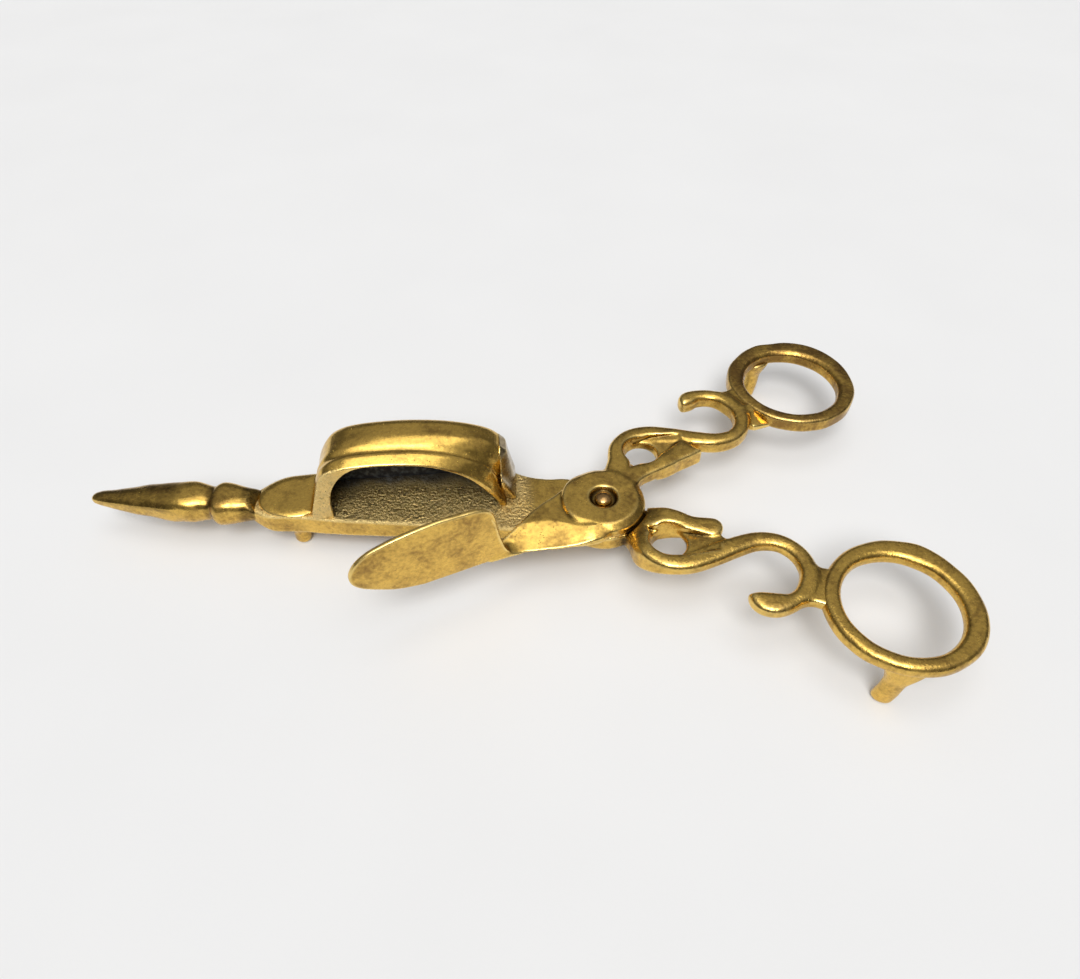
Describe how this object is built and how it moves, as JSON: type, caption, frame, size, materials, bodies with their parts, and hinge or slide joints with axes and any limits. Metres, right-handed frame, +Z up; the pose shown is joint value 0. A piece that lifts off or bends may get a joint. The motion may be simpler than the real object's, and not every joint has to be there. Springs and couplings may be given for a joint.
{
  "type": "wick trimmer",
  "caption": "Scissor-action brass wick trimmer with a box on one blade, an upright trimming plate on the other, scrolled handles with finger bows, and small feet.",
  "frame": {"origin": "on the ground under the centre of the bounding box, with the tool open as it lies on its feet", "axes": "+X from the finial's point towards the finger bows, +Y to the side of the blade lever's handle, +Z up along the pivot rivet"},
  "size_m": [0.175, 0.0942, 0.027],
  "materials": {
    "cast_brass": "aged cast brass, olive-brown patina on the flats and polished edges",
    "box_brass": "polished and satin cast brass with sooty insides",
    "plate_brass": "smooth worn brass plate",
    "solder_grey_brass": "greyish brass wall with solder traces",
    "rivet_brass": "browned peened rivet"
  },
  "bodies": {
    "box_arm": {"box_lever": "cast_brass", "finial_spike": "cast_brass", "tongue_plate": "cast_brass", "snuff_box_hood": "box_brass", "snuff_box_end_wall": "solder_grey_brass", "pivot_rivet": "rivet_brass", "rivet_washer": "cast_brass", "front_foot": "cast_brass", "box_finger_bow": "cast_brass", "box_bow_foot": "cast_brass"},
    "blade_arm": {"blade_lever": "cast_brass", "trimming_plate": "plate_brass", "blade_finger_bow": "cast_brass", "blade_bow_foot": "cast_brass"}
  },
  "joints": [
    {"name": "pivot", "type": "hinge", "parent": "box_arm", "child": "blade_arm", "pos_m": [0.02116, -0.00053, 0.01065], "axis": [0, 0, 1], "range_deg": [-23, 25]}
  ]
}
